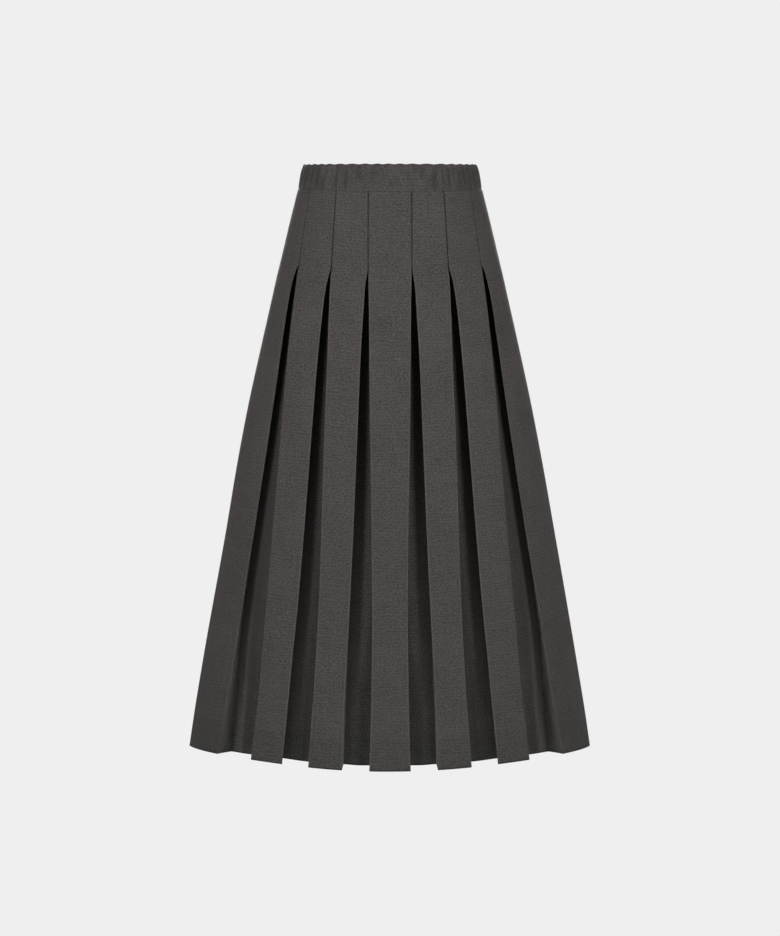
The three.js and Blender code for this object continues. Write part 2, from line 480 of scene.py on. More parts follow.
    def bow(self, channel: Channel, share: float) -> float:
        """How far the underlay bulges out of the pleat, at a share of its width."""
        height = np.interp(self.cut.opened(self.drop), self.cut.bow_at, self.cut.bow_share)
        return float(height) * channel.mouth * math.sin(math.pi * share) ** 2

    def turn_at(self, along: np.ndarray) -> np.ndarray:
        """Angle round from the centre at places along the ring, negative to the left."""
        return np.sign(along) * np.interp(np.abs(along), self.arcs, self.turns)

    def plan(self, along: np.ndarray, depth: np.ndarray) -> tuple[np.ndarray, np.ndarray, np.ndarray]:
        """Places points of the line in plan.

        Args:
            along: distances along the ring in mm.
            depth: distances in from the ring in mm.

        Returns:
            Plan points in mm, outward normals of the ring, and the turns.
        """
        turn = self.turn_at(along)
        ring = np.stack([self.half_width * np.sin(turn), -self.half_depth * np.cos(turn)], axis=1)
        out = np.stack([np.sin(turn) / self.half_width, -np.cos(turn) / self.half_depth], axis=1)
        out /= np.linalg.norm(out, axis=1, keepdims=True)
        return ring - out * depth[:, None], out, turn


def grid_faces(rows: int, columns: int, wrap_rows: bool, wrap_columns: bool) -> list[Face]:
    """Quads over a grid of points, facing out where rows run down and columns run right.

    Args:
        rows: number of rows.
        columns: number of points in a row.
        wrap_rows: join the last row to the first.
        wrap_columns: join each row's last point to its first.

    Returns:
        The corners of each quad.
    """
    faces = []
    for i in range(rows if wrap_rows else rows - 1):
        below = (i + 1) % rows
        for j in range(columns if wrap_columns else columns - 1):
            right = (j + 1) % columns
            faces.append((i * columns + j, below * columns + j, below * columns + right, i * columns + right))
    return faces


def build_mesh(name: str, points: np.ndarray, faces: list[Face], sharp_degrees: float) -> bpy.types.Object:
    """Makes a smooth-shaded mesh object whose sharp corners stay sharp.

    Args:
        name: name of the object and its mesh.
        points: corner places in metres.
        faces: corner numbers of each face.
        sharp_degrees: corners that turn more than this stay sharp.

    Returns:
        The object, linked to the scene.
    """
    mesh = bpy.data.meshes.new(name)
    mesh.from_pydata(points.tolist(), [], faces)
    mesh.validate()
    mesh.shade_smooth()
    mesh.set_sharp_from_angle(angle=math.radians(sharp_degrees))
    piece = bpy.data.objects.new(name, mesh)
    bpy.context.scene.collection.objects.link(piece)
    return piece


def corner_points(piece: bpy.types.Object) -> np.ndarray:
    """Reads which point each face corner of a mesh stands on.

    Args:
        piece: the mesh object.

    Returns:
        The point's number for each corner.
    """
    corners = np.empty(len(piece.data.loops), dtype=np.int64)
    piece.data.loops.foreach_get("vertex_index", corners)
    return corners


def corner_uvs(piece: bpy.types.Object, uv: np.ndarray) -> None:
    """Lays the cloth's own coordinates on a mesh, in metres along its width and its length.

    Args:
        piece: the mesh object.
        uv: (width, length) for each face corner, in the order of the mesh's corners.
    """
    layer = piece.data.uv_layers.new(name="cloth")
    layer.data.foreach_set("uv", uv.astype(np.float32).ravel())


def corner_mask(piece: bpy.types.Object, name: str, values: np.ndarray) -> None:
    """Keeps a mask for the material on each face corner.

    Args:
        piece: the mesh object.
        name: name of the mask.
        values: one number for each corner.
    """
    layer = piece.data.attributes.new(name=name, type="FLOAT", domain="CORNER")
    layer.data.foreach_set("value", values.astype(np.float32))


@dataclass(frozen=True)
class Swing:
    """A slow wave of the hanging cloth: height in mm, turn per mm along and down, and start."""

    height: float
    along: float
    down: float
    start: float = 0.0
    back_start: float = 0.0

    def at(self, along: np.ndarray, drop: float, side: Side) -> np.ndarray:
        """How far in the wave moves places along the ring, in mm."""
        start = self.start + self.back_start * side.value
        return self.height * np.sin(along * self.along + drop * self.down + start)


@dataclass(frozen=True)
class PanelTones:
    """Masks for the tones of a panel's cloth, where lists have a value for each pleat.

    seam paints shade along the stitched lines, the waist seam and the hem's fold, and edge paints a highlight
    on the pressed edges. Over the underlays dim is a stripe of painted shade and glow a stripe of painted
    light low down, by strength, place and reach as shares of the underlay's width. Heights are in mm.
    """

    cut: SkirtCut
    seam: tuple[float, ...] = (0.9, 0.9, 0.04, 0.3)
    edge: tuple[float, ...] = (1.0, 1.0, 0.4, 0.0)
    edge_points: tuple[int, ...] = (1, 2, 3)
    dim: tuple[float, ...] = (0.22, 0.48, 0.54, 0.0)
    dim_at: tuple[float, ...] = (0.4, 0.48, 0.6, 0.0)
    dim_reach: tuple[float, ...] = (0.13, 0.14, 0.19, 1.0)
    glow: tuple[float, ...] = (0.65, 0.4, 1.5, 0.0)
    glow_at: tuple[float, ...] = (0.65, 0.7, 0.84, 0.0)
    glow_from: tuple[float, ...] = (320.0, 460.0, 530.0, 0.0)
    glow_reach: float = 0.13
    glow_fade: float = 220.0
    loosening: float = 5.0
    baring: float = 45.0
    waist_seam: float = 0.6
    waist: float = 0.32
    hem: float = 1.0
    hem_rim: float = 2.6

    def past_tacks(self, length: np.ndarray, fade: float) -> np.ndarray:
        """0 down to the tacks, then rising to 1 over the fade's length."""
        return np.clip((length - self.cut.stitch_length) / fade, 0, 1)

    def painted_edge_highlight(self, round_fold: np.ndarray, pleat: np.ndarray, length: np.ndarray) -> np.ndarray:
        """Painted highlight on the pressed edges below the tacks, at each corner."""
        bared = self.past_tacks(length, self.baring)
        return np.isin(round_fold, self.edge_points) * bared * np.array(self.edge)[pleat]

    def seams(self, round_fold: np.ndarray, pleat: np.ndarray, length: np.ndarray) -> np.ndarray:
        """Painted shade along the stitched lines, at the waist seam and on the hem's fold.

        Args:
            round_fold: each corner's place round a pressed edge.
            pleat: each corner's pleat.
            length: each corner's distance below the waist seam in mm.

        Returns:
            The mask from 0 to 1.
        """
        closed = 1 - self.past_tacks(length, self.loosening)
        pinched = (round_fold > 1) * closed * np.array(self.seam)[pleat]
        waist = self.waist * (length < self.waist_seam)
        hem = self.hem * np.clip((length - self.cut.skirt_drop) / self.hem_rim + 1, 0, 1)
        return np.max([pinched, waist, hem], axis=0)

    def underlays(self, across: np.ndarray, pleat: np.ndarray, length: np.ndarray) -> np.ndarray:
        """Paints shade and light over the underlays, across their width and down their length.

        Args:
            across: each corner's share of the way over its underlay.
            pleat: each corner's pleat.
            length: each corner's distance below the waist seam in mm.

        Returns:
            What the cloth's colour is multiplied by, 1 where it stays.
        """
        low = np.clip((length - np.array(self.glow_from)[pleat]) / self.glow_fade, 0, 1)
        dim = np.exp(-(((across - np.array(self.dim_at)[pleat]) / np.array(self.dim_reach)[pleat]) ** 2))
        glow = np.exp(-(((across - np.array(self.glow_at)[pleat]) / self.glow_reach) ** 2)) * low
        return 1 - dim * np.array(self.dim)[pleat] + glow * np.array(self.glow)[pleat]


@dataclass(frozen=True)
class PanelRow:
    """A panel's cloth at one height: both its sides, its path from the left and its line."""

    outer: np.ndarray
    inner: np.ndarray
    path: np.ndarray
    line: ClothLine


@dataclass
class Panel:
    """The front or the back of the skirt: one width of cloth, pleated and hemmed.

    Sizes are in mm, and those of the flat cut in metres.
    """

    side: Side
    cut: SkirtCut
    creases: tuple[Crease, ...]
    tones: PanelTones
    cloth: float = 0.9
    fold_radius: float = 0.5
    hem_allowance: float = 50.0
    hem_extra: float = 0.8
    tucked_up: float = 2.0
    seam_join: float = 0.02
    seam_tuck: float = 0.75
    tuck_reach: float = 1.3
    swings: tuple[Swing, ...] = (Swing(0.5, 0.023, 0.009, 0.0, 2.1), Swing(0.35, 0.041, -0.016, 1.3))
    swing_at_tack: float = 0.3
    swing_gain: float = 0.9
    seam_rows: tuple[float, ...] = (0.0, 1.2, 2.6)
    rows_stitched: int = 16
    stitched_easing: float = 1.3
    rows_open: int = 84
    open_easing: float = 0.25
    hem_step: float = 0.6
    hem_fold_steps: int = 4
    sharp_degrees: float = 55.0
    grain_shift: float = 71.3
    flat_width: float = 1.352
    flat_length: float = 0.765
    flat_area: float = 0.83

    @property
    def name(self) -> str:
        """Name of the panel's piece."""
        return f"{self.side.name.lower()}_cloth"

    @property
    def node(self) -> str:
        """Name of the plain solid that the panel stands for."""
        return f"{self.side.name.lower()}_panel"

    def drops(self) -> np.ndarray:
        """Spaces the rows, closer where the pleats begin to open.

        Returns:
            Height of each row below the waist seam in mm.
        """
        stitched, full = self.cut.stitch_length, self.cut.skirt_drop
        top = np.linspace(0, 1, self.rows_stitched)[1:] ** self.stitched_easing * stitched
        share = np.linspace(0, 1, self.rows_open)[1:]
        low = stitched + (self.open_easing * share**2 + (1 - self.open_easing) * share) * (full - stitched)
        step = full - self.hem_allowance
        rims = [step - self.hem_step, step + self.hem_step, full - self.tones.hem_rim]
        return np.sort(np.concatenate([[-self.tucked_up], self.seam_rows, top, low, rims]))

    def sway(self, along: np.ndarray, drop: float) -> np.ndarray:
        """Finds how the hanging cloth departs from its plain form.

        Args:
            along: places along the ring in mm from the centre.
            drop: distance below the waist seam in mm.

        Returns:
            How far the cloth moves inwards at each place, in mm.
        """
        wave = sum(swing.at(along, drop, self.side) for swing in self.swings)
        total = wave * (self.swing_at_tack + self.swing_gain * self.cut.opened(drop))
        return total + sum(crease.dent(along, drop) for crease in self.creases)

    def row(self, drop: float) -> PanelRow:
        """Lays the cloth at one height.

        Args:
            drop: distance below the waist seam in mm.

        Returns:
            Both sides of the cloth there.
        """
        section = RingSection(self.cut, drop, self.cloth, self.fold_radius)
        line = section.half_line().mirrored()
        along, depth = line.points[:, 0], line.points[:, 1] + self.sway(line.points[:, 0], drop)
        place, out, turn = section.plan(along, depth)
        place[0, 1] = place[-1, 1] = self.seam_join
        step = np.diff(place, axis=0)
        path = np.concatenate([[0], np.cumsum(np.linalg.norm(step, axis=1))])
        step /= np.maximum(np.linalg.norm(step, axis=1, keepdims=True), 1e-9)
        heading = np.concatenate([step[:1], step[:-1] + step[1:], step[-1:]])
        heading /= np.linalg.norm(heading, axis=1, keepdims=True)
        away = np.stack([heading[:, 1], -heading[:, 0]], axis=1)
        away[0], away[-1] = out[0], out[-1]
        z = self.cut.seam_z - self.cut.seam_gap - drop + self.cut.lift(drop, turn)
        z -= self.cut.sag(drop, depth, turn)
        tuck = self.seam_tuck * (1.0 if drop < 0 else math.exp(-((drop / self.tuck_reach) ** 2)))
        inside = self.cloth / 2 + self.hem_extra * self.hem_share(drop)
        outer = np.column_stack([place + away * (self.cloth / 2) - out * tuck, z])
        inner = np.column_stack([place - away * inside - out * tuck, z])
        return PanelRow(outer, inner, path, line)

    def hem_share(self, drop: float) -> float:
        """1 where the turned-up hem backs the cloth, and 0 above it."""
        return 1.0 if drop > self.cut.skirt_drop - self.hem_allowance else 0.0

    def build(self) -> bpy.types.Object:
        """Builds the panel as one closed thin shell.

        Returns:
            The panel's object, with its cloth coordinates and masks.
        """
        drops = self.drops()
        rows = [self.row(float(drop)) for drop in drops]
        hem = self.hem_rows(rows[-1].outer, rows[-1].inner)
        sheets = [*(row.outer for row in rows), *hem, *(row.inner for row in rows[::-1])]
        columns = len(rows[0].outer)
        faces = grid_faces(len(sheets), columns, wrap_rows=True, wrap_columns=False)
        grid_count = len(faces)
        faces += self.side_edges(len(rows), len(hem), columns)
        points = np.concatenate(sheets) * MM
        if self.side is Side.BACK:
            points[:, :2] *= -1
        piece = build_mesh(self.name, points, faces, self.sharp_degrees)
        self.lay_grain(piece, rows, np.array(self.round_shell(drops)), grid_count)
        LOG.info("%s: %d corners, %d faces", self.name, len(points), len(faces))
        return piece

    def round_shell(self, values: Sequence[float | np.ndarray]) -> list[float | np.ndarray]:
        """The value of each row in the shell's order: down outside, round the hem, up inside."""
        return [*values, *[values[-1]] * (self.hem_fold_steps - 1), *values[::-1]]

    def hem_rows(self, outer: np.ndarray, inner: np.ndarray) -> list[np.ndarray]:
        """Rounds the turned-up fold at the very hem.

        Args:
            outer: the outer side's last row.
            inner: the inner side's last row.

        Returns:
            The rows between them, each a little lower in the middle of the fold.
        """
        rows = []
        for step in range(1, self.hem_fold_steps):
            angle = math.pi * step / self.hem_fold_steps
            share = (1 - math.cos(angle)) / 2
            row = outer * (1 - share) + inner * share
            row[:, 2] -= (self.cloth + self.hem_extra) / 2 * math.sin(angle)
            rows.append(row)
        return rows

    def side_edges(self, outer_rows: int, hem_rows: int, columns: int) -> list[Face]:
        """Closes the shell along its two side seams.

        Args:
            outer_rows: number of rows on the outer side.
            hem_rows: number of rows round the hem's fold.
            columns: number of points in a row.

        Returns:
            The faces of both edges.
        """
        last = 2 * outer_rows + hem_rows - 1
        faces: list[Face] = []
        for column, left in ((0, True), (columns - 1, False)):
            for i in range(outer_rows - 1):
                quad = (i, i + 1, last - i - 1, last - i)
                faces.append(tuple(k * columns + column for k in (quad[::-1] if left else quad)))
            fold = tuple(range(outer_rows - 1, outer_rows + hem_rows + 1))
            faces.append(tuple(k * columns + column for k in (fold[::-1] if left else fold)))
        return faces

    def lay_grain(
        self, piece: bpy.types.Object, rows: list[PanelRow], levels: np.ndarray, grid_count: int
    ) -> None:
        """Lays the weave's coordinates so that the grain runs straight down every face.

        Args:
            piece: the panel's object.
            rows: the cloth at each height.
            levels: the drop of each row of the shell.
            grid_count: number of quads in the shell's grid.
        """
        line = rows[0].line
        face, columns = line.face, len(line.face)
        quad_face = np.where(np.abs(face[:-1]) > np.abs(face[1:]), face[:-1], face[1:])
        paths = np.array(self.round_shell([row.path for row in rows]))
        middles = {k: paths[:, np.flatnonzero(face == k)].mean(axis=1) for k in np.unique(face)}
        centre = np.stack([middles[k] for k in quad_face], axis=1)
        corners = corner_points(piece)
        row_of, column_of = corners // columns, corners % columns
        quad_column = np.repeat(np.arange(grid_count), 4) % (columns - 1)
        count = len(quad_column)
        width = np.zeros(len(corners))
        from_centre = paths[row_of[:count], column_of[:count]] - centre[row_of[:count], quad_column]
        width[:count] = from_centre + quad_face[quad_column] * self.grain_shift
        length = levels[row_of]
        corner_uvs(piece, np.column_stack([width * MM, -length * MM]))
        round_fold, pleat = line.round_fold[column_of], line.pleat[column_of]
        # Masks that paint a highlight on the pressed edges, shade along the seams and the hem's fold, and
        # shade and light on the underlays.
        corner_mask(piece, "fold_edge_highlight", self.tones.painted_edge_highlight(round_fold, pleat, length))
        corner_mask(piece, "seam", self.tones.seams(round_fold, pleat, length))
        corner_mask(piece, "pleat_shade", self.tones.underlays(line.across[column_of], pleat, length))

    def dress(self, piece: bpy.types.Object, material: bpy.types.Material) -> None:
        """Gives the panel its cloth and its place in the frame, and hides the plain solid that it stands for.

        Args:
            piece: the panel's object.
            material: its cloth's material.
        """
        piece.data.materials.append(material)
        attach(piece, "root")
        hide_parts(self.node)


@dataclass(frozen=True)
class Gather:
    """A crease of the casing: offset from the centre, reach up and down, width and depth, mm."""

    offset: float
    low: float
    high: float
    width: float
    depth: float
    lean: float = 0.0

    def dent(self, along: np.ndarray, up: float) -> np.ndarray:
        """Depth of the crease at places along the casing.

        Args:
            along: places along the casing in mm from the centre.
            up: their height above the waist seam in mm.

        Returns:
            How far the casing moves inwards at each place, in mm.
        """
        middle, reach = (self.low + self.high) / 2, (self.high - self.low) / 2
        fade = 1 / (1 + ((up - middle) / reach) ** 6)
        across = (along - self.offset - self.lean * (up - middle)) / self.width
        return self.depth * np.exp(-(across**2)) * fade


@dataclass
class Waistband:
    """The elastic casing: a tube of cloth round the waist, gathered by its elastic.

    Sizes are in mm, and girth, grain_start and flat in metres. uneven lists what shifts the
    even gathers, as (by how much, how many times round, start).
    """

    cut: SkirtCut
    gathers: tuple[Gather, ...]
    height: float = 37.0
    wall: float = 3.0
    half_widths: tuple[float, ...] = (124.3, 123.6, 119.9, 117.2)
    ups: tuple[float, ...] = (0, 9, 30, 37)
    depth_ratio: float = 0.72
    seam_rounding: tuple[tuple[float, float], ...] = ((0.0, 0.45), (0.3, 0.13), (0.8, 0.0))
    ripples: int = 40
    uneven: tuple[tuple[float, int, float], ...] = ((1.4, 3, 0.6), (0.8, 7, 0.0))
    ripple_depth: float = 0.45
    ripple_at_seam: float = 0.25
    ripple_lost_inside: float = 0.7
    edge_ripple: float = 0.45
    gather_depth: float = 1.9
    gather_lost_inside: float = 0.5
    gather_radius: float = 108.0
    steps_round: int = 1200
    rows_up: int = 26
    rows_top: int = 8
    sharp_degrees: float = 70.0
    # Painted shade at the waist seam, along the crown's rounding and in the gathers' creases.
    seam_reach: float = 0.5
    seam_dark: float = 0.35
    crown_painted_shade: float = 1.0
    crown_reach: float = 2.4
    crease_painted_shade: float = 0.5
    crease_full: float = 1.8
    girth: float = 0.69
    grain_start: float = 0.4
    flat: tuple[float, float] = (0.72, 0.0395)

    def section(self) -> Places:
        """Draws the casing's wall from the seam over the crown and down inside.

        Returns:
            (height above the seam, distance in from the outer side) of each row, in mm.
        """
        rounding = self.wall / 2
        straight = self.height - rounding
        outer = [(up, 0.0) for up in np.linspace(0, straight, self.rows_up)[1:]]
        angles = np.linspace(0, math.pi, self.rows_top)[1:-1]
        top = [(straight + rounding * math.sin(a), rounding * (1 - math.cos(a))) for a in angles]
        inner = [(up, self.wall) for up in np.linspace(straight, 0, self.rows_up // 2)]
        return [*self.seam_rounding, *outer, *top, *inner]

    def wave(self, turn: np.ndarray) -> np.ndarray:
        """The even part of the gathers round the band, between -1 and 1."""
        shift = sum(by * np.sin(times * turn + start) for by, times, start in self.uneven)
        return np.cos(self.ripples * turn + shift)

    def dents(self, turn: np.ndarray, up: float, inward: float) -> np.ndarray:
        """Lays the creases all the way round at one height, those of the back mirrored.

        Args:
            turn: angles round from the centre front.
            up: height above the waist seam in mm.
            inward: distance in from the casing's outer side in mm.

        Returns:
            How far the casing is creased in at each angle, in mm.
        """
        from_front = np.mod(turn + math.pi, 2 * math.pi) - math.pi
        from_back = np.mod(turn, 2 * math.pi) - math.pi
        along = np.where(np.cos(turn) > 0, from_front, -from_back) * self.gather_radius
        depth = self.gather_depth * (1 - self.gather_lost_inside * inward / self.wall)
        return sum(gather.dent(along, up) for gather in self.gathers) * depth

    def build(self) -> bpy.types.Object:
        """Builds the casing as one closed tube of cloth.

        Returns:
            The casing's object.
        """
        turn = np.linspace(0, 2 * math.pi, self.steps_round, endpoint=False)
        section = self.section()[::-1]
        table = np.array(self.ups), np.array(self.half_widths)
        wave = self.wave(turn)
        rows, creased = [], []
        for up, inward in section:
            share = up / self.height
            half_width = smooth_curve(*table, np.array([up]))[0]
            ripple = self.ripple_at_seam + (1 - self.ripple_at_seam) * share**2
            ripple *= self.ripple_depth * (1 - self.ripple_lost_inside * inward / self.wall)
            dents = self.dents(turn, up, inward)
            out = wave * ripple - inward - dents
            lift = self.cut.lift(0, turn) * (1 - share)
            z = self.cut.seam_z + up + lift + wave * self.edge_ripple * share**5
            x = (half_width + out) * np.sin(turn)
            y = -(half_width * self.depth_ratio + out) * np.cos(turn)
            rows.append(np.column_stack([x, y, z]))
            creased.append(dents / self.gather_depth)
        faces = grid_faces(len(rows), self.steps_round, wrap_rows=True, wrap_columns=True)
        piece = build_mesh("waistband_cloth", np.concatenate(rows) * MM, faces, self.sharp_degrees)
        self.lay_grain(piece, section, np.array(creased))
        LOG.info("waistband_cloth: %d faces", len(faces))
        return piece

    def lay_grain(self, piece: bpy.types.Object, section: Places, creased: np.ndarray) -> None:
        """Lays the weave's coordinates round the band, and a mask of painted shade at its seam, along its
        crown and in its creases.

        Args:
            piece: the casing's object.
            section: the rows of the casing's wall, in the mesh's order.
            creased: how deep each point lies in a crease, in mm.
        """
        corners, around = corner_points(piece), self.steps_round
        row_of, column_of = corners // around, corners % around
        quad_column = np.repeat(np.arange(len(corners) // 4), 4) % around
        across = np.where((column_of == 0) & (quad_column == around - 1), around, column_of)
        steps = np.hypot(*np.diff(np.array(section), axis=0).T)
        lengths = np.concatenate([[0], np.cumsum(steps)])[row_of] * MM
        corner_uvs(piece, np.column_stack([across / around * self.girth, lengths + self.grain_start]))
        corner_mask(piece, "fold_edge_highlight", np.zeros(len(corners)))
        corner_mask(piece, "pleat_shade", np.ones(len(corners)))
        up = np.array(section)[row_of, 0]
        # Painted shade at the seam, along the crown and in the creases.
        seam = self.seam_dark * (up < self.seam_reach)
        crown = self.crown_painted_shade * np.clip((up - self.height) / self.crown_reach + 1, 0, 1)
        crease = self.crease_painted_shade * np.clip(creased[row_of, column_of] / self.crease_full, 0, 1)
        corner_mask(piece, "seam", np.max([seam, crown, crease], axis=0))

    def dress(self, piece: bpy.types.Object, material: bpy.types.Material) -> None:
        """Gives the casing its cloth and its place in the frame, and hides the plain solid that it stands
        for.

        Args:
            piece: the casing's object.
            material: its cloth's material.
        """
        piece.data.materials.append(material)
        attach(piece, "root")
        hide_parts("waistband")


@dataclass(frozen=True)
class Layer:
    """One noise over the cloth: its weight, its grain, and how it is drawn out both ways."""

    weight: float
    scale: float
    detail: float
    rough: float = 0.5
    stretch: tuple[float, float] = (1.0, 1.0)


class Blend(Enum):
    """The ways to join two colours."""

    MIX = "MIX"
    TIMES = "MULTIPLY"


class Wiring:
    """Places and joins nodes of one tree."""

    def __init__(self, tree: bpy.types.NodeTree) -> None:
        """Works on that tree."""
        self.tree = tree

    def node(self, kind: str, **settings: object) -> bpy.types.Node:
        """Adds a node and sets its options.

        Args:
            kind: the node's type name.
            **settings: its options.

        Returns:
            The node.
        """
        made = self.tree.nodes.new(kind)
        for name, value in settings.items():
            setattr(made, name, value)
        return made

    def feed(self, socket: Socket, value: Value) -> None:
        """Joins another socket to an input, or sets the input's number or colour.

        Args:
            socket: the input.
            value: the other socket, the number or the colour.
        """
        if isinstance(value, Socket):
            self.tree.links.new(value, socket)
        else:
            socket.default_value = value

    def fill(self, node: bpy.types.Node, values: dict[str, Value]) -> None:
        """Feeds inputs of a node by their names."""
        for name, value in values.items():
            self.feed(node.inputs[name], value)

    def math(self, operation: str, *values: Value) -> Socket:
        """Adds a math node.

        Args:
            operation: what it does.
            *values: its inputs in order.

        Returns:
            Its result.
        """
        made = self.node("ShaderNodeMath", operation=operation)
        for socket, value in zip(made.inputs, values):
            self.feed(socket, value)
        return made.outputs[0]

    def total(self, *parts: tuple[Value, float]) -> Socket:
        """Adds up values, each times its weight.

        Args:
            *parts: (value, weight) of each.

        Returns:
            The sum.
        """
        result = self.math("MULTIPLY", *parts[0])
        for value, weight in parts[1:]:
            result = self.math("MULTIPLY_ADD", value, weight, result)
        return result

    def blend(self, way: Blend, share: Value, low: Value, high: Value) -> Socket:
        """Joins two colours.

        Args:
            way: how they are joined.
            share: how far it goes from the first alone, 0, to the whole effect, 1.
            low: the first colour.
            high: the second colour, or a number in its place.

        Returns:
            The colour.
        """
        made = self.node("ShaderNodeMix", data_type="RGBA", blend_type=way.value)
        values = {"Factor_Float": share, "A_Color": low, "B_Color": high}
        for socket in made.inputs:
            if socket.identifier in values:
                self.feed(socket, values[socket.identifier])
        return next(s for s in made.outputs if s.identifier == "Result_Color")

    def ramp(self, value: Value, source: tuple[float, float], to: tuple[float, float] = (0.0, 1.0)) -> Socket:
        """Turns one range into another by a smooth step.

        Args:
            value: what is turned.
            source: the range that it comes from.
            to: the range that it goes to.

        Returns:
            The new value.
        """
        made = self.node("ShaderNodeMapRange", interpolation_type="SMOOTHSTEP")
        names = ("Value", "From Min", "From Max", "To Min", "To Max")
        self.fill(made, dict(zip(names, (value, *source, *to))))
        return made.outputs["Result"]

    def noise(self, cloth: Socket, layer: Layer) -> Socket:
        """Adds noise over the cloth, about 0.5 on average.

        Args:
            cloth: the cloth's coordinates.
            layer: the noise's grain and stretch.

        Returns:
            The noise, before its weight.
        """
        drawn = self.node("ShaderNodeMapping", vector_type="POINT")
        self.fill(drawn, {"Vector": cloth, "Scale": (*layer.stretch, 1.0)})
        made = self.node("ShaderNodeTexNoise", noise_dimensions="2D")
        self.fill(made, {"Vector": drawn.outputs["Vector"], "Scale": layer.scale})
        self.fill(made, {"Detail": layer.detail, "Roughness": layer.rough})
        return made.outputs["Fac"]

    def layers(self, cloth: Socket, layers: tuple[Layer, ...]) -> Socket:
        """The sum of several noises over the cloth, each times its weight."""
        return self.total(*((self.noise(cloth, layer), layer.weight) for layer in layers))

    def split(self, vector: Socket) -> bpy.types.NodeOutputs:
        """Takes coordinates apart.

        Args:
            vector: the cloth's coordinates.

        Returns:
            The place along its width as X, and along its length as Y.
        """
        made = self.node("ShaderNodeSeparateXYZ")
        self.fill(made, {"Vector": vector})
        return made.outputs


FLOAT, VECTOR = "NodeSocketFloat", "NodeSocketVector"


class Effect(Wiring):
    """A shader node group in the making, from named inputs to one named output."""

    def __init__(self, name: str, inputs: dict[str, str], output: str) -> None:
        """Starts the group.

        Args:
            name: the group's name.
            inputs: type of each input by its name.
            output: name of the output, a number.
        """
        super().__init__(bpy.data.node_groups.new(name, "ShaderNodeTree"))
        for socket_name, kind in inputs.items():
            self.tree.interface.new_socket(socket_name, in_out="INPUT", socket_type=kind)
        self.tree.interface.new_socket(output, in_out="OUTPUT", socket_type=FLOAT)
        self.given = self.node("NodeGroupInput").outputs
        self.result = self.node("NodeGroupOutput").inputs

    def done(self, value: Socket) -> bpy.types.NodeTree:
        """Ends the group in that value."""
        self.feed(self.result[0], value)
        return self.tree


@dataclass(frozen=True)
class SuitingGroups:
    """The effects that the skirt's cloths share, each a node group.

    The ribs' pitch is in metres, and the noises are as many to the metre as their scale says.
    """

    thread_flat: float = 0.55
    yarns: tuple[Layer, ...] = (
        Layer(0.34, 680.0, 2.0, 0.6, (1.0, 0.5)),
        Layer(0.36, 680.0, 2.0, 0.6, (0.5, 1.0)),
        Layer(0.07, 700.0, 1.0, stretch=(1.0, 0.03)),
        Layer(0.06, 640.0, 1.0, stretch=(0.03, 1.0)),
        Layer(0.17, 560.0, 1.0),
    )
    rib_pitch: float = 0.0041
    rib_share: float = 0.04
    rib_sway: Layer = Layer(9.0, 26.0, 1.0)
    rib_patch: Layer = Layer(1.0, 260.0, 1.0, stretch=(0.6, 1.0))
    patch_range: tuple[float, float] = (0.35, 0.65)
    mottling: tuple[Layer, ...] = (Layer(0.6, 14.0, 3.0), Layer(0.4, 70.0, 2.0))

    def weave(self) -> bpy.types.NodeTree:
        """Plain weave: threads that pass over and under each other.

        Returns:
            A group from cloth coordinates and thread pitch to a height.
        """
        w = Effect("Plain weave", {"Cloth": VECTOR, "Pitch": FLOAT}, "Height")
        place = w.split(w.given["Cloth"])
        across, down = (w.math("DIVIDE", place[axis], w.given["Pitch"]) for axis in ("X", "Y"))
        warp, weft = self.thread(w, across), self.thread(w, down)
        over = w.math("PINGPONG", w.math("ADD", w.math("FLOOR", across), w.math("FLOOR", down)), 1.0)
        flat, rest = self.thread_flat, 1 - self.thread_flat
        bends = [w.math("MULTIPLY_ADD", crossed, rest, flat) for crossed in (weft, warp)]
        warp, weft = w.math("MULTIPLY", warp, bends[0]), w.math("MULTIPLY", weft, bends[1])
        return w.done(w.math("MULTIPLY_ADD", w.math("SUBTRACT", warp, weft), over, weft))

    def thread(self, w: Wiring, place: Socket) -> Socket:
        """Round section of the threads that lie side by side along a coordinate, from 0 to 1."""
        centred = w.math("SUBTRACT", w.math("FRACT", place), 0.5)
        return w.math("SUBTRACT", 1.0, w.math("MULTIPLY", w.math("MULTIPLY", centred, centred), 4.0))

    def heather(self) -> bpy.types.NodeTree:
        """Melange yarns: short light and dark streaks along warp and weft.

        Returns:
            A group from cloth coordinates to a tone, about 0.5 on average.
        """
        w = Effect("Heather", {"Cloth": VECTOR}, "Tone")
        cloth = w.given["Cloth"]
        return w.done(w.total((w.layers(cloth, self.yarns), 1.0), (self.rib(w, cloth), self.rib_share)))

    def rib(self, w: Wiring, cloth: Socket) -> Socket:
        """Faint bars across the cloth where thicker weft yarns recur.

        Args:
            w: the group's wiring.
            cloth: the cloth's coordinates.

        Returns:
            The bars' tone, between -1 and 1.
        """
        sway = w.layers(cloth, (self.rib_sway,))
        turn = w.math("MULTIPLY_ADD", w.split(cloth)["Y"], 2 * math.pi / self.rib_pitch, sway)
        patch = w.ramp(w.noise(cloth, self.rib_patch), self.patch_range)
        return w.math("MULTIPLY", w.math("SINE", turn), patch)

    def mottle(self) -> bpy.types.NodeTree:
        """Broad soft changes of shade over the cloth, from handling and pressing.

        Returns:
            A group from cloth coordinates to a shade, about 0.5 on average.
        """
        w = Effect("Mottle", {"Cloth": VECTOR}, "Shade")
        return w.done(w.layers(w.given["Cloth"], self.mottling))


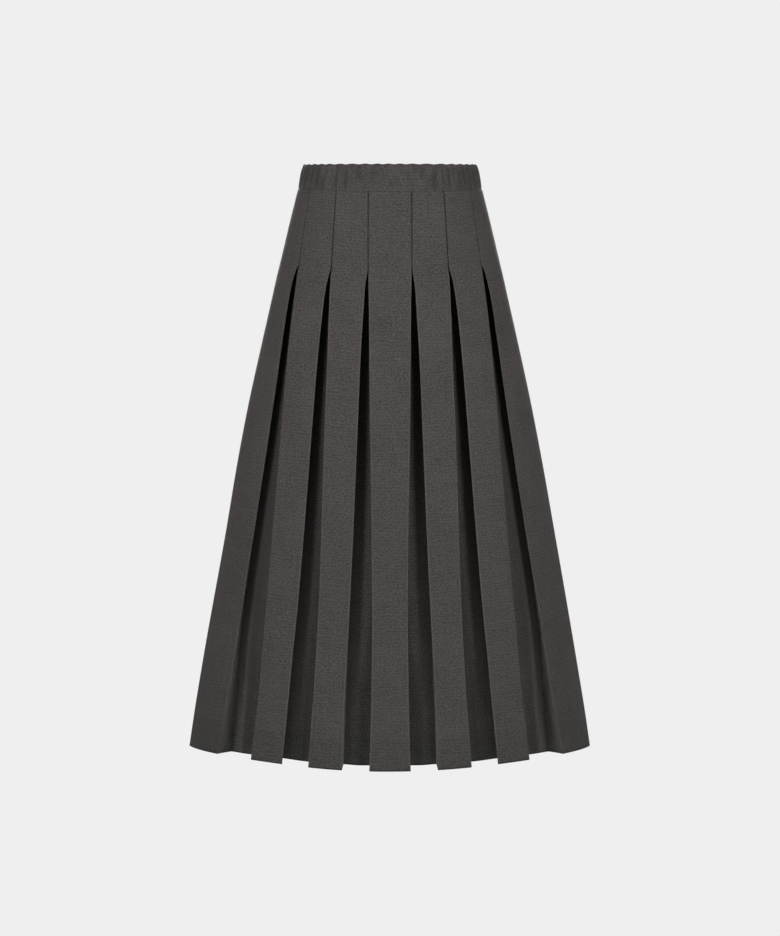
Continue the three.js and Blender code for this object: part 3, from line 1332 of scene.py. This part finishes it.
@dataclass(frozen=True)
class Suiting:
    """The skirt's cloth: matt melange suiting in warm dark grey, with sizes in metres.

    Over tone_range the yarns' tone runs from the dark colour to the light one, and the threads
    and the mottling shift it about their middles. Roughness is that of dark and of light yarn.
    """

    name: str
    has_hem: bool = True
    dark: Colour = (0.0183, 0.0160, 0.0149, 1.0)
    light: Colour = (0.0598, 0.0535, 0.0504, 1.0)
    tone_range: tuple[float, float] = (0.32, 0.68)
    pitch: float = 0.00062
    thread_middle: float = 0.7
    thread_share: float = 0.25
    mottle_middle: float = 0.5
    mottle_share: float = 0.5
    hem_at: float = 0.7215
    hem_fade: float = 0.003
    hem_tint: Colour = (0.86, 0.93, 0.91, 1.0)
    # Colour and strength of the painted highlight laid on the pressed edges.
    edge: Colour = (0.084, 0.076, 0.072, 1.0)
    edge_highlight_strength: float = 0.35
    # Colour and strength of the painted shade along the seams, the hem's fold and the band's crown and
    # creases.
    seam: Colour = (0.006, 0.0055, 0.005, 1.0)
    seam_shade: float = 0.72
    roughness: tuple[float, float] = (0.92, 0.8)
    specular: float = 0.25
    sheen: float = 0.12
    sheen_roughness: float = 0.55
    sheen_tint: Colour = (0.9, 0.87, 0.85, 1.0)
    weave_bump: float = 0.25
    bump_depth: float = 0.0004
    thread_height: float = 0.6

    def make(self, groups: dict[str, bpy.types.NodeTree]) -> bpy.types.Material:
        """Builds the material.

        Args:
            groups: the shared effects by name.

        Returns:
            The material.
        """
        material = bpy.data.materials.new(self.name)
        material.use_nodes = True
        material.node_tree.nodes.clear()
        w = Wiring(material.node_tree)
        cloth = w.node("ShaderNodeUVMap", uv_map="cloth").outputs["UV"]
        names = ("weave", "heather", "mottle")
        placed = [w.node("ShaderNodeGroup", node_tree=groups[name]) for name in names]
        for effect in placed:
            w.feed(effect.inputs["Cloth"], cloth)
        w.feed(placed[0].inputs["Pitch"], self.pitch)
        thread, yarn, mottle = (effect.outputs[0] for effect in placed)
        tone = w.ramp(yarn, self.tone_range)
        tone = w.math("MULTIPLY_ADD", w.math("SUBTRACT", thread, self.thread_middle), self.thread_share, tone)
        tone = w.math("MULTIPLY_ADD", w.math("SUBTRACT", mottle, self.mottle_middle), self.mottle_share, tone)
        height = w.total((yarn, 1.0), (thread, self.thread_height))
        bump = w.node("ShaderNodeBump")
        w.fill(bump, {"Strength": self.weave_bump, "Distance": self.bump_depth, "Height": height})
        shader = w.node("ShaderNodeBsdfPrincipled")
        looks = {
            "Base Color": self.colour(w, cloth, tone),
            "Roughness": w.ramp(tone, (0.0, 1.0), self.roughness),
            "Specular IOR Level": self.specular,
            "Sheen Weight": self.sheen,
            "Sheen Roughness": self.sheen_roughness,
            "Sheen Tint": self.sheen_tint,
            "Normal": bump.outputs["Normal"],
        }
        w.fill(shader, looks)
        w.fill(w.node("ShaderNodeOutputMaterial"), {"Surface": shader.outputs[0]})
        return material

    def colour(self, w: Wiring, cloth: Socket, tone: Socket) -> Socket:
        """Colours the cloth by its tone, its hem and the masks on the piece, which paint shade and highlights
        into it.

        Args:
            w: the material's wiring.
            cloth: the cloth's coordinates.
            tone: the cloth's tone, from dark at 0 to light at 1.

        Returns:
            The colour.
        """
        masks = ("pleat_shade", "fold_edge_highlight", "seam")
        shade, pressed, seam = (w.node("ShaderNodeAttribute", attribute_name=m).outputs["Fac"] for m in masks)
        colour = w.blend(Blend.MIX, tone, self.dark, self.light)
        if self.has_hem:
            colour = w.blend(Blend.TIMES, self.hem(w, cloth), colour, self.hem_tint)
        # The masks paint shade and light on the underlays, a highlight on the pressed edges, and shade along
        # the seams, the hem's fold and the band's crown and creases.
        colour = w.blend(Blend.TIMES, 1.0, colour, shade)
        colour = w.blend(Blend.MIX, w.math("MULTIPLY", pressed, self.edge_highlight_strength), colour, self.edge)
        return w.blend(Blend.MIX, w.math("MULTIPLY", seam, self.seam_shade), colour, self.seam)

    def hem(self, w: Wiring, cloth: Socket) -> Socket:
        """Mask of the pressed double cloth of the turned-up hem, by the cloth's coordinates."""
        down = w.math("MULTIPLY", w.split(cloth)["Y"], -1.0)
        return w.ramp(down, (self.hem_at - self.hem_fade, self.hem_at + self.hem_fade))


class Hand(Enum):
    """The two sides of the studio, by the sign of x."""

    LEFT = -1
    RIGHT = 1


@dataclass(frozen=True)
class Softbox:
    """A softbox that faces the skirt: azimuth from the camera and spread in degrees, sizes in metres."""

    name: str
    azimuth: float
    height: float
    aim_z: float
    size: tuple[float, float]
    power: float
    spread: float
    away: float = 2.1

    def stand(self, name: str, side: int = 1) -> None:
        """Stands the softbox in the studio.

        Args:
            name: the light's name.
            side: 1 on the right and -1 on the left.
        """
        data = bpy.data.lights.new(name, "AREA")
        data.shape, data.energy, data.spread = "RECTANGLE", self.power, math.radians(self.spread)
        data.size, data.size_y = self.size
        lamp = bpy.data.objects.new(name, data)
        turn = math.radians(self.azimuth)
        place = (side * self.away * math.sin(turn), -self.away * math.cos(turn), self.height)
        lamp.location = place
        lamp.visible_camera = False
        aim = np.array([0.0, 0.0, self.aim_z]) - np.array(place)
        flat = math.hypot(aim[0], aim[1])
        lamp.rotation_euler = (math.atan2(flat, -aim[2]), 0.0, math.atan2(-aim[0], aim[1]))
        bpy.context.scene.collection.objects.link(lamp)


@dataclass(frozen=True)
class Studio:
    """Plain pale floor and backdrop, soft lights and the photograph's point of view, in metres.

    The tent is the floor and its rise into a wall and a roof, by (radius, height) of its rings.
    """

    distance: float = 3.5286
    height: float = -0.0314
    tilt_degrees: float = 5.88
    focal_px: float = 2586.0
    frame_px: float = 936.0
    sensor: float = 24.0
    floor_z: float = -1.3
    floor_middle: float = 0.4
    floor_radius: float = 5.0
    bend_radius: float = 1.0
    bend_steps: int = 12
    wall: tuple[tuple[float, float], ...] = ((6.0, 5.0), (4.0, 8.0), (1.0, 9.0))
    steps_round: int = 64
    sharp_degrees: float = 60.0
    backdrop: Colour = (0.863, 0.863, 0.863, 1.0)
    sky: float = 0.006
    pairs: tuple[Softbox, ...] = (
        Softbox("key", 42, 0.6, -0.18, (1.0, 0.6), 3.95, 55),
        Softbox("soft", 50, 0.5, -0.15, (0.75, 0.8), 4.2, 100),
        Softbox("edge", 80, 0.2, -0.3, (0.75, 0.8), 0.4, 110),
        Softbox("low", 36, -0.9, -0.6, (0.75, 0.8), 1.15, 100),
        Softbox("rear", 166, 0.6, -0.2, (0.6, 0.7), 7.5, 70),
    )
    floor_lights: tuple[Softbox, ...] = (
        Softbox("floor_bounce", 0, -1.15, -0.8, (1.2, 0.3), 1.15, 50, away=1.2),
        Softbox("floor_glow", 0, -1.28, -0.4, (0.3, 0.16), 0.8, 180, away=0.0),
    )

    def place_camera(self) -> None:
        """Sets the camera at the photograph's angle to the skirt."""
        data = bpy.data.cameras.new("camera")
        data.sensor_fit = "VERTICAL"
        data.sensor_height = self.sensor
        data.lens = self.focal_px / self.frame_px * self.sensor
        camera = bpy.data.objects.new("camera", data)
        camera.location = (0.0, -self.distance, self.height)
        camera.rotation_euler = (QUARTER_TURN - math.radians(self.tilt_degrees), 0.0, 0.0)
        bpy.context.scene.collection.objects.link(camera)
        bpy.context.scene.camera = camera

    def place_stage(self) -> None:
        """Builds the floor and its rise into a backdrop all round, as one plain round tent."""
        angles = np.linspace(0, QUARTER_TURN, self.bend_steps)
        floor, bend = self.floor_radius, self.bend_radius
        rise = [(floor + bend * math.sin(a), bend * (1 - math.cos(a))) for a in angles]
        profile = [(self.floor_middle, 0.0), *rise, *self.wall]
        turns = np.linspace(0, 2 * math.pi, self.steps_round, endpoint=False)
        points = [(r * math.cos(a), r * math.sin(a), self.floor_z + up) for r, up in profile for a in turns]
        faces = grid_faces(len(profile), len(turns), wrap_rows=False, wrap_columns=True)
        faces.append(tuple(range(len(turns))))
        faces.append(tuple(range(len(points) - len(turns), len(points)))[::-1])
        sweep = build_mesh("floor", np.array(points), faces, self.sharp_degrees)
        sweep.data.materials.append(self.paper())
        sweep.visible_diffuse = sweep.visible_glossy = sweep.visible_shadow = False

    def paper(self) -> bpy.types.Material:
        """Makes the tent's even paper, clear from outside so that the skirt is seen from below.

        Returns:
            The material.
        """
        material = bpy.data.materials.new("paper_sweep")
        material.use_nodes = True
        w = Wiring(material.node_tree)
        behind = w.node("ShaderNodeNewGeometry").outputs["Backfacing"]
        looks = {
            "Base Color": (0.0, 0.0, 0.0, 1.0),
            "Specular IOR Level": 0.0,
            "Roughness": 1.0,
            "Emission Color": self.backdrop,
            "Emission Strength": 1.0,
            "Alpha": w.math("SUBTRACT", 1.0, behind),
        }
        w.fill(material.node_tree.nodes["Principled BSDF"], looks)
        return material

    def place_lights(self) -> None:
        """Stands the softboxes in pairs and the lights that stand in for the floor's own glow."""
        for hand in Hand:
            for box in self.pairs:
                box.stand(f"{box.name}_{hand.name.lower()}", hand.value)
        for box in self.floor_lights:
            box.stand(box.name)
        world = bpy.data.worlds.new("studio")
        world.use_nodes = True
        background = world.node_tree.nodes["Background"]
        background.inputs["Color"].default_value = (1.0, 1.0, 1.0, 1.0)
        background.inputs["Strength"].default_value = self.sky
        bpy.context.scene.world = world


FRONT_CREASES = (
    Crease(along=8, drop=300, width=22, length=160, depth=0.9, lean=0.02),
    Crease(along=-12, drop=560, width=14, length=120, depth=-0.8, lean=-0.03),
    Crease(along=66, drop=240, width=13, length=90, depth=0.8),
    Crease(along=-70, drop=330, width=15, length=130, depth=0.9, lean=-0.12),
    Crease(along=120, drop=420, width=16, length=150, depth=0.9, lean=0.14),
    Crease(along=-118, drop=260, width=14, length=110, depth=-0.7, lean=-0.1),
    Crease(along=190, drop=360, width=20, length=170, depth=1.3, lean=0.16),
    Crease(along=-200, drop=440, width=22, length=150, depth=1.2, lean=-0.17),
    Crease(along=60, drop=620, width=12, length=90, depth=-0.7, lean=0.05),
    Crease(along=-150, drop=600, width=15, length=100, depth=0.8, lean=-0.1),
)
BACK_CREASES = (
    Crease(along=-6, drop=380, width=20, length=170, depth=0.9),
    Crease(along=70, drop=300, width=14, length=110, depth=0.8, lean=0.1),
    Crease(along=-66, drop=520, width=15, length=120, depth=-0.8, lean=-0.08),
    Crease(along=125, drop=560, width=15, length=130, depth=0.9, lean=0.12),
    Crease(along=-130, drop=340, width=16, length=140, depth=0.9, lean=-0.12),
    Crease(along=205, drop=400, width=22, length=150, depth=1.2, lean=0.17),
    Crease(along=-195, drop=300, width=20, length=130, depth=1.1, lean=-0.16),
)
GATHERS = (
    Gather(-163, 3, 36, 3.6, 1.3, -0.03),
    Gather(-154, 8, 37, 3.0, 1.0, 0.05),
    Gather(-147, 0, 26, 4.0, 1.4),
    Gather(-138, 6, 36, 3.0, 1.1, 0.04),
    Gather(-129, 0, 33, 3.6, 1.5, -0.04),
    Gather(-121, 14, 37, 2.6, 0.9),
    Gather(-113, 1, 35, 3.2, 1.3),
    Gather(-107, 12, 36, 2.2, 0.9, 0.03),
    Gather(-100, 4, 36, 3.0, 1.5, 0.04),
    Gather(-91, 0, 20, 4.2, 0.9),
    Gather(-85, 20, 36, 3.0, 0.7, -0.05),
    Gather(-77, 10, 30, 3.4, 0.6),
    Gather(-69, 2, 36, 2.8, 1.4, 0.03),
    Gather(-62, 22, 37, 2.4, 1.0),
    Gather(-57, 0, 27, 4.6, 1.7, 0.02),
    Gather(-49, 6, 20, 3.0, 0.7, -0.06),
    Gather(-46, 22, 37, 3.4, 1.2),
    Gather(-39, 14, 37, 3.0, 1.4, -0.05),
    Gather(-30, 2, 18, 3.8, 0.7),
    Gather(-21, 10, 28, 2.4, 1.0, 0.16),
    Gather(-14, 24, 37, 2.6, 0.9),
    Gather(-10, 4, 18, 3.0, 0.8, 0.3),
    Gather(0, 3, 13, 4.0, 0.7),
    Gather(8, 6, 18, 2.6, 0.9, -0.34),
    Gather(13, 20, 37, 3.0, 0.8),
    Gather(23, 8, 27, 2.6, 1.0, -0.12),
    Gather(33, 24, 37, 2.6, 0.9),
    Gather(40, 16, 37, 3.4, 1.4, 0.03),
    Gather(47, 2, 16, 3.4, 0.8),
    Gather(56, 0, 24, 4.2, 1.7, 0.04),
    Gather(60, 20, 37, 2.8, 1.2),
    Gather(68, 4, 36, 2.8, 1.0, -0.04),
    Gather(77, 0, 30, 3.4, 1.2),
    Gather(86, 14, 37, 2.8, 0.8, 0.05),
    Gather(94, 2, 24, 3.8, 1.0),
    Gather(103, 4, 36, 2.8, 1.5, -0.04),
    Gather(113, 1, 35, 3.0, 1.3),
    Gather(120, 10, 37, 2.6, 0.9, 0.04),
    Gather(128, 0, 30, 3.8, 1.4),
    Gather(137, 4, 36, 3.0, 1.2, -0.05),
    Gather(145, 16, 37, 3.2, 1.0),
    Gather(152, 0, 34, 3.6, 1.5, 0.03),
    Gather(161, 5, 36, 2.8, 1.1, -0.04),
)


def main() -> None:
    """Builds the studio, the cloths and every piece of the skirt, in order."""
    logging.basicConfig(level=logging.INFO, format="%(name)s: %(message)s")
    bpy.context.scene.view_settings.view_transform = "Standard"
    studio = Studio()
    studio.place_camera()
    studio.place_stage()
    studio.place_lights()
    effects = SuitingGroups()
    groups = {"weave": effects.weave(), "heather": effects.heather(), "mottle": effects.mottle()}
    cut = SkirtCut()
    skirt_cloth = Suiting(name="skirt_suiting").make(groups)
    band_cloth = Suiting(name="band_suiting", has_hem=False).make(groups)
    for side, creases in ((Side.FRONT, FRONT_CREASES), (Side.BACK, BACK_CREASES)):
        panel = Panel(side=side, cut=cut, creases=creases, tones=PanelTones(cut))
        panel.dress(panel.build(), skirt_cloth)
    band = Waistband(cut=cut, gathers=GATHERS)
    band.dress(band.build(), band_cloth)


if __name__ == "__main__":
    main()
